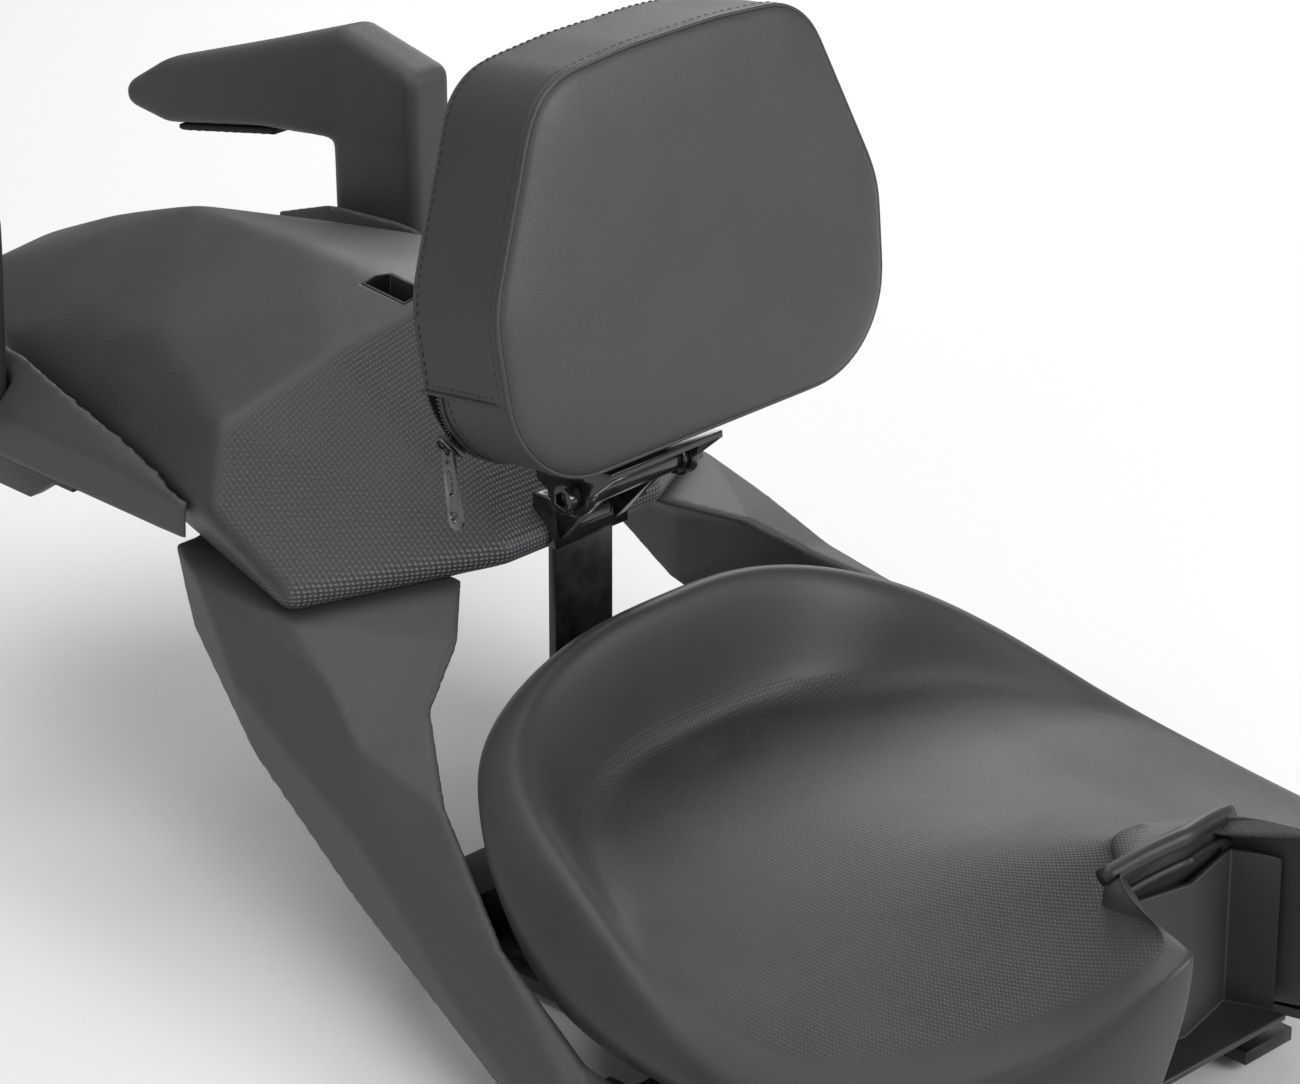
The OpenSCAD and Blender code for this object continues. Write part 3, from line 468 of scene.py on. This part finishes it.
hardPiece("board_screws", "backrest", "fastener", "bolt", 0.0003)
hardPiece("zip_slider", "zip_slider", "zip_metal", "zip", 0.0009, 3)
hardPiece("zip_pull", "zip_pull", "zip_metal", "zip", 0.0005)
castSettings = {"voxel": 0.0026, "legSmooth": 4, "railSmooth": 3, "handleSmooth": 8}
for side in ("left", "right"):
    castPiece("leg_" + side, "seat_frame", castSettings["voxel"], castSettings["legSmooth"])
    castPiece("tail_rail_" + side, "seat_frame", castSettings["voxel"], castSettings["railSmooth"])
    castPiece("grab_handle_" + side, "seat_frame", castSettings["voxel"], castSettings["handleSmooth"])
    castPiece("grip_insert_" + side, "seat_frame", 0.0012, 4, "rubber", "grip_black")
print("hard parts finished")


# ---------- rider seat: the foam form gives the loops, the cover is drawn over it

riderSeat = {"coverThickness": 0.0046, "crestCrease": 0.30, "creaseCrease": 0.35, "hemCrease": 0.7, "levels": 3,
    "noseCrease": 0.9, "noseStart": -0.19, "noseHalf": 0.112, "notchHalf": 0.08, "noseFill": 0.35}


def ringNumbers(bm):
    lowest = min(v.co.z for v in bm.verts)
    level = {v: 0 for v in bm.verts if v.co.z < lowest + 0.0004}
    edge = list(level)
    while edge:
        following = []
        for vert in edge:
            for link in vert.link_edges:
                other = link.other_vert(vert)
                if other not in level:
                    level[other] = level[vert] + 1
                    following.append(other)
        edge = following
    return level


def makeRiderCover():
    obj = copyNode("rider_foam", "rider_cover_skin", 0.00005)
    bm = bmesh.new()
    bm.from_mesh(obj.data)
    crease = bm.edges.layers.float.new("crease_edge")
    dotsAndPaintedHighlight = bm.verts.layers.float.new("dotsAndPaintedHighlight")
    level = ringNumbers(bm)
    bmesh.ops.join_triangles(bm, faces=bm.faces, angle_face_threshold=math.radians(80),
        angle_shape_threshold=math.radians(120))
    weights = {1: riderSeat["hemCrease"], 3: riderSeat["crestCrease"], 4: riderSeat["creaseCrease"]}
    for e in bm.edges:
        first, second = level[e.verts[0]], level[e.verts[1]]
        atNose = all(v.co.y < riderSeat["noseStart"] and abs(v.co.x) < riderSeat["noseHalf"] for v in e.verts)
        atNotch = atNose and all(0.045 < abs(v.co.x) < riderSeat["notchHalf"] for v in e.verts)
        if first == second:
            e[crease] = riderSeat["noseCrease"] if atNose and first == 3 else weights.get(first, 0.0)
        elif atNotch and max(first, second) <= 3:
            e[crease] = riderSeat["noseCrease"]
    for v in bm.verts:
        v[dotsAndPaintedHighlight] = 1.0 if level[v] >= 4 else 0.0
    bm.to_mesh(obj.data)
    bm.free()
    fill = obj.vertex_groups.new(name="fill")
    for v in obj.data.vertices:
        atNotch = v.co.y < riderSeat["noseStart"] and abs(v.co.x) < riderSeat["notchHalf"]
        fill.add([v.index], riderSeat["noseFill"] if atNotch else 1.0, "REPLACE")
    addModifier(obj, "DISPLACE", strength=riderSeat["coverThickness"], mid_level=0.0, vertex_group="fill")
    addModifier(obj, "SUBSURF", levels=riderSeat["levels"], render_levels=riderSeat["levels"])
    shade(obj)
    settle(obj, "seat_frame", "seat_vinyl", materials["seatVinyl"], "rider_cover", "rider_foam")
    return obj


makeRiderCover()

noseLook = {"rimRadius": 0.0052, "lipRadius": 0.0022, "lipDrop": 0.016, "corner": (0.0515, -0.2085, 0.177),
    "middle": (0.0, -0.2215, 0.1875)}


def makeNoseRim():
    corner, middle = Vector(noseLook["corner"]), Vector(noseLook["middle"])
    flip = Vector((-1, 1, 1))

    def bend(drop, inward):
        path = []
        for k in range(10):
            share = k / 10
            path.append(corner.lerp(middle, share) + Vector((0, 0, 0.0012 * math.sin(share * math.pi))))
        path.append(middle)
        return [p + Vector((-inward if p.x > 0.001 else 0, -inward, -drop)) for p in path]
    for name, radius, drop, inward in (("nose_rim", noseLook["rimRadius"], 0.0035, 0.0),
            ("nose_lip", noseLook["lipRadius"], noseLook["lipDrop"], 0.004)):
        half = bend(drop, inward)
        whole = half + [p * flip for p in half[-2::-1]]
        obj = tubeAlong(name, whole, radius, 12)
        shade(obj)
        settle(obj, "seat_frame", "black_plastic", materials["plastic"])


makeNoseRim()
print("rider seat made")


# ---------- passenger seat: the cover's outer form, smoothed, with the bezel slot cut in its top

passengerSeat = {"voxel": 0.003, "crisp": 4, "broad": 40, "facetEnd": 0.352, "broadFull": 0.44}


def makePassengerCover():
    bm = bmesh.new()
    bm.from_mesh(frame["nodes"]["passenger_cover"].data)
    result = bmesh.ops.convex_hull(bm, input=bm.verts)
    hullFaces = {f for f in result["geom"] if isinstance(f, bmesh.types.BMFace)}
    bmesh.ops.delete(bm, geom=[f for f in bm.faces if f not in hullFaces], context="FACES")
    bmesh.ops.delete(bm, geom=[v for v in bm.verts if not v.link_faces], context="VERTS")
    bmesh.ops.recalc_face_normals(bm, faces=bm.faces)
    obj = newPiece("passenger_cover_skin", bm)
    addModifier(obj, "REMESH", mode="VOXEL", voxel_size=passengerSeat["voxel"])
    addModifier(obj, "SMOOTH", factor=0.5, iterations=passengerSeat["crisp"])
    broad = obj.vertex_groups.new(name="broad")
    for v in obj.data.vertices:
        share = (v.co.y - passengerSeat["facetEnd"]) / (passengerSeat["broadFull"] - passengerSeat["facetEnd"])
        broad.add([v.index], max(0.0, min(1.0, share)), "REPLACE")
    addModifier(obj, "SMOOTH", factor=0.5, iterations=passengerSeat["broad"], vertex_group="broad")
    cutSlot(obj)
    # painted highlight with the dot pattern: dots and their light colour go on faces turned to the front, half as
    # strong on faces turned down, faint on top
    dotsAndPaintedHighlight = obj.data.attributes.new("dotsAndPaintedHighlight", "FLOAT", "POINT")
    for v in obj.data.vertices:
        facing = max(0.0, min(1.0, (-v.normal.y - 0.45) / 0.25))
        below = max(0.0, min(1.0, (0.1 - v.normal.z) / 0.3))
        dotsAndPaintedHighlight.data[v.index].value = 0.05 + 0.95 * max(facing, 0.5 * below)
    shade(obj)
    settle(obj, "seat_frame", "seat_vinyl", materials["passengerVinyl"], "passenger_cover", "passenger_foam")
    return obj


def cutSlot(obj):
    low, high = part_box("slot_bezel")
    middle = [(a + b) / 2 for a, b in zip(low, high)]
    bpy.ops.mesh.primitive_cube_add(size=1, location=(middle[0], middle[1], high[2]))
    cutter = bpy.context.object
    cutter.dimensions = (high[0] - low[0] + 0.0004, high[1] - low[1] + 0.0004, 2 * (high[2] - low[2]) + 0.001)
    selectOnly(cutter)
    bpy.ops.object.transform_apply(scale=True, location=True)
    addModifier(obj, "BOOLEAN", object=cutter, operation="DIFFERENCE", solver="EXACT")
    bpy.data.objects.remove(cutter)


makePassengerCover()
print("passenger seat made")


# ---------- backrest pad

pad = {"crown": 0.0085, "samples": 220, "stitch": 0.0042, "stitchGap": 0.0018, "stitchRadius": 0.00045,
    "edgeStitch": 0.0022, "edgeStitchRadius": 0.0004, "weltRadius": 0.0013, "rimInset": 0.038, "rimDrop": 0.0071,
    "crownRings": 12}


def padFrame(point):
    offset = Vector(point) - hingeAxis
    return Vector((offset.dot(padAcross), offset.dot(padRear), offset.dot(padUp)))


def padPoint(x, y, z):
    return hingeAxis + x * padAcross + y * padRear + z * padUp


def padOutline():
    foam = [padFrame(v.co) for v in frame["nodes"]["pad_foam"].data.vertices]
    flat = sorted({(round(p.x, 6), round(p.z, 6)) for p in foam})

    def half(points):
        chain = []
        for p in points:
            while len(chain) > 1 and ((chain[-1][0] - chain[-2][0]) * (p[1] - chain[-2][1])
                    - (chain[-1][1] - chain[-2][1]) * (p[0] - chain[-2][0])) <= 0:
                chain.pop()
            chain.append(p)
        return chain[:-1]
    corners = [Vector(p) for p in half(flat) + half(flat[::-1])]
    lengths = [(corners[(i + 1) % len(corners)] - corners[i]).length for i in range(len(corners))]
    total = sum(lengths)
    outline = []
    for k in range(pad["samples"]):
        want = total * k / pad["samples"]
        for i, length in enumerate(lengths):
            if want <= length:
                outline.append(corners[i].lerp(corners[(i + 1) % len(corners)], want / length))
                break
            want -= length
    for _ in range(3):
        count = len(outline)
        outline = [(outline[i - 1] + 2 * outline[i] + outline[(i + 1) % count]) / 4 for i in range(count)]
    return outline


padRing = padOutline()
foamInset = 0.0043  # the outline was read from the foam, which lies this far under the cover
padMiddle = sum(padRing, Vector((0, 0))) / len(padRing)
padDeep = min(padFrame(v.co).y for v in frame["nodes"]["pad_band"].data.vertices) - 0.001


def ringAt(inset, y, pull=0.0):
    points = []
    count = len(padRing)
    for i, p in enumerate(padRing):
        along = (padRing[(i + 1) % count] - padRing[i - 1]).normalized()
        outward = Vector((along.y, -along.x))
        q = p + outward * (foamInset - inset)
        q = q.lerp(padMiddle, pull)
        points.append(padPoint(q.x, y, q.y))
    return points


def loftRings(name, rings, capFirst=False, capLast=False):
    bm = bmesh.new()
    rows = [[bm.verts.new(p) for p in ring] for ring in rings]
    for a, b in zip(rows, rows[1:]):
        for k in range(len(a)):
            bm.faces.new((a[k], a[(k + 1) % len(a)], b[(k + 1) % len(a)], b[k]))
    if capFirst:
        bm.faces.new(rows[0])
    if capLast:
        bm.faces.new(rows[-1])
    bmesh.ops.recalc_face_normals(bm, faces=bm.faces)
    return newPiece(name, bm)


def makePadFront():
    profile = [(0.0015, 0.006), (0.0012, 0.002), (0.0010, 0.0), (0.0022, -0.0014), (0.0050, -0.0026), (0.0095, -0.0037),
        (0.016, -0.0048), (0.026, -0.0060), (pad["rimInset"], -pad["rimDrop"])]
    rings = [ringAt(inset, padDeep + y) for inset, y in profile]
    for step in range(1, pad["crownRings"] + 1):
        share = step / pad["crownRings"]
        drop = pad["rimDrop"] + (pad["crown"] - pad["rimDrop"]) * math.sin(share * math.pi / 2)
        rings.append(ringAt(pad["rimInset"], padDeep - drop, share * 0.97))
    obj = loftRings("pad_front_panel", rings, capLast=True)
    shade(obj)
    settle(obj, "backrest", "pad_leather", materials["padFront"], "pad_front")
    return obj


def makePadBand():
    deep = padDeep
    steps = [(0.0018, deep + 0.005), (0.0006, deep + 0.0012), (-0.0006, deep + 0.0022), (-0.0008, deep + 0.005),
        (0.0, deep + 0.012), (0.0002, deep + 0.03), (0.0002, deep * 0.4), (0.0, -0.010), (0.0004, -0.005),
        (0.0018, -0.0018), (0.0045, -0.0004), (0.009, 0.0), (0.02, 0.0003)]
    rings = [ringAt(inset, y) for inset, y in steps]
    for step in range(1, 8):
        rings.append(ringAt(0.02, 0.0003, step / 8))
    obj = loftRings("pad_band_skin", rings, capLast=True)
    shade(obj)
    settle(obj, "backrest", "pad_band_vinyl", materials["padBand"], "pad_band", "pad_back", "zip_chain")
    return obj


def stitchRow(name, ring, length, gap, radius, body):
    bm = bmesh.new()
    count = len(ring)
    lengths = [(ring[(i + 1) % count] - ring[i]).length for i in range(count)]
    total = sum(lengths)
    number = int(total / (length + gap))

    def pointAt(want):
        want = want % total
        for i, size in enumerate(lengths):
            if want <= size:
                return ring[i].lerp(ring[(i + 1) % count], want / size)
            want -= size
        return ring[0]
    for k in range(number):
        a = pointAt(k * total / number)
        b = pointAt(k * total / number + length)
        middle = (a + b) / 2
        along = (b - a).normalized()
        turn = along.to_track_quat("X", "Z").to_matrix().to_4x4()
        made = bmesh.ops.create_uvsphere(bm, u_segments=6, v_segments=4, radius=1)
        bmesh.ops.transform(bm, verts=made["verts"],
            matrix=Matrix.Translation(middle) @ turn @ Matrix.Diagonal((length / 2, radius, radius, 1)))
    obj = newPiece(name, bm)
    shade(obj)
    return settle(obj, body, "pad_band_vinyl", materials["thread"])


makePadFront()
makePadBand()
welt = tubeAlong("pad_front_welt", ringAt(0.0004, padDeep + 0.0006), pad["weltRadius"], 8, True)
shade(welt)
settle(welt, "backrest", "pad_leather", materials["padFront"])
stitchRow("pad_front_stitches", ringAt(-0.0007, padDeep + 0.0065), pad["stitch"], pad["stitchGap"],
    pad["stitchRadius"], "backrest")
stitchRow("pad_edge_stitches", ringAt(-0.0003, padDeep + 0.0024), pad["edgeStitch"], pad["edgeStitch"],
    pad["edgeStitchRadius"], "backrest")

# ---------- zip, flap and seam round the lower back edge

zipLook = {"seamHeight": 0.0935, "zipLine": -0.009, "flapEdge": -0.0150, "flapStitch": -0.0205, "sliderHeight": 0.061,
    "toothPitch": 0.0021, "toothRadius": 0.0008, "openFront": -0.0145, "openRear": -0.0055}
lowRun = [i for i, p in enumerate(padRing) if p.y < zipLook["seamHeight"]]


def outlinePoint(i, inset, y):
    count = len(padRing)
    p = padRing[i]
    along = (padRing[(i + 1) % count] - padRing[i - 1]).normalized()
    q = p + Vector((along.y, -along.x)) * (foamInset - inset)
    return padPoint(q.x, y, q.y)


def openShare(i):
    height = padRing[i].y - zipLook["sliderHeight"]
    return max(0.0, min(1.0, height / (zipLook["seamHeight"] - zipLook["sliderHeight"]))) if padRing[i].x < 0 else 0.0


def evenSteps(points, pitch):
    placed, left = [], 0.0
    for a, b in zip(points, points[1:]):
        length = (b - a).length
        while left < length:
            placed.append(a.lerp(b, left / length))
            left += pitch
        left -= length
    return placed


def beadRow(name, points, radius, stretch, slotName, material):
    bm = bmesh.new()
    for k, point in enumerate(points):
        ahead = points[min(k + 1, len(points) - 1)] - points[max(k - 1, 0)]
        turn = ahead.normalized().to_track_quat("X", "Z").to_matrix().to_4x4()
        made = bmesh.ops.create_uvsphere(bm, u_segments=6, v_segments=4, radius=1)
        bmesh.ops.transform(bm, verts=made["verts"],
            matrix=Matrix.Translation(point) @ turn @ Matrix.Diagonal((radius * stretch, radius, radius, 1)))
    obj = newPiece(name, bm)
    shade(obj)
    return settle(obj, "backrest", slotName, material)


def bandStrip(name, run, inset, edges, material, slotName):
    bm = bmesh.new()
    rows = []
    for i in run:
        a, b = edges(i)
        rows.append([bm.verts.new(outlinePoint(i, inset, y)) for y in (a, b)]
            + [bm.verts.new(outlinePoint(i, inset + 0.0012, y)) for y in (b, a)])
    for first, second in zip(rows, rows[1:]):
        for k in range(4):
            bm.faces.new((first[k], first[(k + 1) % 4], second[(k + 1) % 4], second[k]))
    bm.faces.new(rows[0])
    bm.faces.new(rows[-1])
    bmesh.ops.recalc_face_normals(bm, faces=bm.faces)
    obj = newPiece(name, bm)
    shade(obj, 40)
    return settle(obj, "backrest", slotName, material)


def zipEdge(i, side):
    spread = openShare(i) ** 0.8
    edge = zipLook["openFront"] if side > 0 else zipLook["openRear"]
    return zipLook["zipLine"] + (edge - zipLook["zipLine"]) * spread


def makeZip():
    bandStrip("zip_tape", lowRun, -0.0004, lambda i: (zipEdge(i, 1) - 0.0014, zipEdge(i, -1) + 0.0024),
        materials["thread"], "black_plastic")
    openRun = [i for i in lowRun if openShare(i) > 0]
    # painted shade: a near-black strip between the open tooth rows stands for the shadowed opening
    bandStrip("zip_gap_painted_shade", openRun, -0.0007, lambda i: (zipEdge(i, 1) + 0.0008, zipEdge(i, -1) - 0.0008),
        materials["dark"], "black_plastic")
    closedRun = [i for i in lowRun if openShare(i) == 0]
    closed = evenSteps([outlinePoint(i, -0.0010, zipLook["zipLine"]) for i in closedRun], zipLook["toothPitch"])
    beadRow("zip_teeth_closed", closed, zipLook["toothRadius"], 0.8, "zip_metal", materials["zip"])
    for side, label in ((1, "front"), (-1, "rear")):
        points = evenSteps([outlinePoint(i, -0.0010, zipEdge(i, side)) for i in openRun], zipLook["toothPitch"] * 1.25)
        beadRow("zip_teeth_" + label, points, zipLook["toothRadius"], 0.8, "zip_metal", materials["zip"])
    flap = [outlinePoint(i, -0.0005, min(zipLook["flapEdge"], zipEdge(i, 1) - 0.0024)) for i in lowRun]
    obj = tubeAlong("zip_flap_edge", flap, 0.0009, 8)
    shade(obj)
    settle(obj, "backrest", "pad_band_vinyl", materials["padBand"])
    beadRow("zip_flap_stitches", evenSteps([outlinePoint(i, -0.0002, zipLook["flapStitch"]) for i in lowRun], 0.0052),
        0.00042, 4.2, "pad_band_vinyl", materials["thread"])


def makeBandSeams():
    for side, near in ((-1, "right"), (1, "left")):
        reach = [(abs(p.y - zipLook["seamHeight"]), i) for i, p in enumerate(padRing) if p.x * side > 0]
        lower = min(reach)[1]
        reach = [(abs(p.y - zipLook["seamHeight"] - 0.0048), i) for i, p in enumerate(padRing) if p.x * side > 0]
        higher = min(reach)[1]
        depths = [padDeep + 0.003 + (0.001 - padDeep - 0.003) * k / 24 for k in range(24)]
        seam = [outlinePoint(lower, -0.0003, y) for y in depths]
        obj = tubeAlong("band_seam_" + near, seam, 0.0012, 8)
        shade(obj)
        settle(obj, "backrest", "pad_band_vinyl", materials["padBand"])
        rows = evenSteps([outlinePoint(higher, -0.0002, y) for y in depths], 0.0052)
        beadRow("band_seam_stitches_" + near, rows, 0.00042, 4.2, "pad_band_vinyl", materials["thread"])
    rearRun = [i for i, p in enumerate(padRing) if p.y > zipLook["seamHeight"]]
    first = [i for i in rearRun if padRing[i].x > 0]
    last = [i for i in rearRun if padRing[i].x <= 0]
    run = sorted(first) + sorted(last)
    beadRow("band_rear_stitches", evenSteps([outlinePoint(i, -0.0002, -0.0065) for i in run], 0.0052),
        0.00042, 4.2, "pad_band_vinyl", materials["thread"])


def makeBail():
    pin = Vector(joints["zip_pull_swing"]["pos_m"])
    corner = Vector(joints["zip_slide"]["pos_m"])
    out = (pin - corner).normalized()
    along = out.cross(padRear).normalized()
    points = []
    for k in range(28):
        turn = 2 * math.pi * k / 28
        wide = 0.0044 * math.cos(turn) * padRear
        tall = (0.0072 * math.sin(turn) - 0.0022) * along
        points.append(pin + wide + tall + 0.0012 * (math.cos(turn) ** 2 - 1) * out)
    obj = tubeAlong("zip_bail", points, 0.0008, 8, True)
    shade(obj)
    settle(obj, "zip_slider", "zip_metal", materials["zip"])


makeZip()
makeBandSeams()
makeBail()
print("backrest pad made")

for node, key in (("pad_foam", "foam"), ("pad_board", "board")):
    frame["nodes"][node].data.materials.clear()
    frame["nodes"][node].data.materials.append(materials[key])


# ---------- stage, light and camera

stageSettings = {"floorColour": (0.86, 0.86, 0.86), "world": (0.93, 0.94, 0.95), "worldStrength": 0.36}


def makeStage():
    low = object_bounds()[0]
    bpy.ops.mesh.primitive_plane_add(size=14, location=(0, 0, low[2] - 0.001))
    floor = bpy.context.object
    floor.name = "floor"
    material, _, shader, _ = startMaterial("floor", 0.9)
    shader.inputs["Base Color"].default_value = (*stageSettings["floorColour"], 1)
    floor.data.materials.append(material)
    world = bpy.data.worlds.new("studio")
    world.use_nodes = True
    world.node_tree.nodes["Background"].inputs["Color"].default_value = (*stageSettings["world"], 1)
    world.node_tree.nodes["Background"].inputs["Strength"].default_value = stageSettings["worldStrength"]
    bpy.context.scene.world = world
    bpy.context.scene.view_settings.view_transform = "Standard"


def areaLight(name, place, target, size, power):
    data = bpy.data.lights.new(name, "AREA")
    data.shape = "RECTANGLE"
    data.size, data.size_y = size
    data.energy = power
    lamp = bpy.data.objects.new(name, data)
    lamp.location = place
    lamp.rotation_euler = (Vector(target) - Vector(place)).to_track_quat("-Z", "Y").to_euler()
    bpy.context.scene.collection.objects.link(lamp)


cameraView = {"azimuth": -45, "elevation": 24, "distance": 3.0, "sensor": 36, "lens": 146.76923, "shiftX": 0.0169231,
    "shiftY": -0.0530769}
lamps = {  # place, target, size and power
    "topSoftbox": ((-0.3, 0.5, 2.6), (0, 0.1, 0.3), (2.4, 1.6), 34),
    "frontKey": ((0.8, -2.3, 1.4), (0, 0.1, 0.3), (1.4, 1.4), 46),
    "sideFill": ((-2.7, -0.8, 1.2), (0, 0.2, 0.25), (1.6, 1.6), 15),
    "rearRim": ((2.0, 1.6, 1.4), (0, 0.2, 0.3), (1.2, 1.6), 24)}


def makeCamera():
    azimuth, elevation = math.radians(cameraView["azimuth"]), math.radians(cameraView["elevation"])
    level = math.cos(elevation)
    back = Vector((math.sin(azimuth) * level, -math.cos(azimuth) * level, math.sin(elevation)))
    data = bpy.data.cameras.new("camera")
    data.sensor_width = cameraView["sensor"]
    data.lens = cameraView["lens"]
    data.shift_x, data.shift_y = cameraView["shiftX"], cameraView["shiftY"]
    camera = bpy.data.objects.new("camera", data)
    camera.location = hingeAxis + back * cameraView["distance"]
    camera.rotation_euler = (-back).to_track_quat("-Z", "Y").to_euler()
    bpy.context.scene.collection.objects.link(camera)
    bpy.context.scene.camera = camera


makeStage()
for name, (place, target, size, power) in lamps.items():
    areaLight(name, place, target, size, power)
makeCamera()
print("stage set")
